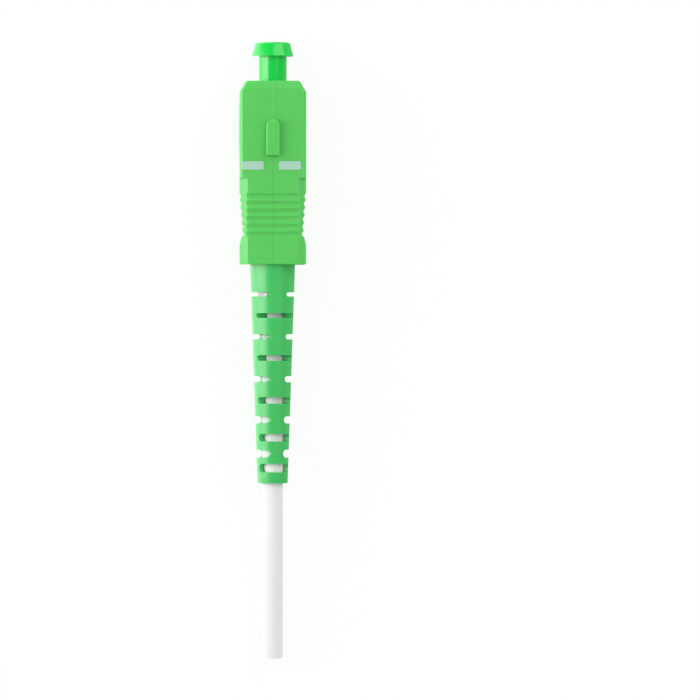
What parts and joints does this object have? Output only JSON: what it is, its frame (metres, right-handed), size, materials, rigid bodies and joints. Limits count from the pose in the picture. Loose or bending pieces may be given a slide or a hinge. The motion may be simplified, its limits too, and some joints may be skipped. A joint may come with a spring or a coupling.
{
  "type": "fibre optic connector",
  "caption": "Square push-pull fibre optic connector with a raised key, an angle-polished ferrule under a dust cap, a slotted strain relief boot and a short length of round cable.",
  "frame": {"origin": "centre of the ferrule's end face", "axes": "+Y along the ferrule, out of the connector's front; +Z towards the raised key; +X to the right seen from above with the front away from the viewer"},
  "size_m": [0.009, 0.0836, 0.0083],
  "materials": {
    "cap_green": "gloss, slightly translucent polyethylene",
    "housing_green": "satin moulded PBT",
    "frame_white": "natural moulded PBT",
    "zirconia": "polished white zirconia ceramic",
    "fibre_glass": "polished",
    "flange_steel": "turned",
    "spring_steel": "drawn wire",
    "nickel_brass": "nickel plated, turned",
    "crimp_metal": "drawn",
    "boot_green": "matte moulded elastomer",
    "jacket_white": "satin extruded cable jacket",
    "aramid": "yellow yarn",
    "buffer_white": "extruded tight buffer"
  },
  "bodies": {
    "plug": {"plug_frame": "frame_white", "stop_ring": "nickel_brass", "crimp_sleeve": "crimp_metal", "boot": "boot_green", "cable_jacket": "jacket_white", "aramid_yarn": "aramid", "tight_buffer": "buffer_white", "ferrule_spring": "spring_steel"},
    "grip": {"outer_housing": "housing_green"},
    "ferrule_unit": {"ferrule": "zirconia", "glass_fibre": "fibre_glass", "ferrule_flange": "flange_steel"},
    "cap": {"dust_cap": "cap_green"}
  },
  "joints": [
    {"name": "housing_pull", "type": "slide", "parent": "plug", "child": "grip", "axis": [0, -1, 0], "range_m": [0, 0.002]},
    {"name": "ferrule_float", "type": "slide", "parent": "plug", "child": "ferrule_unit", "axis": [0, -1, 0], "range_m": [0, 0.0012], "stiffness_N_per_m": 1200, "deforming": ["ferrule_spring"]},
    {"name": "cap_pull", "type": "slide", "parent": "ferrule_unit", "child": "cap", "axis": [0, 1, 0], "range_m": [0, 0.013]}
  ]
}
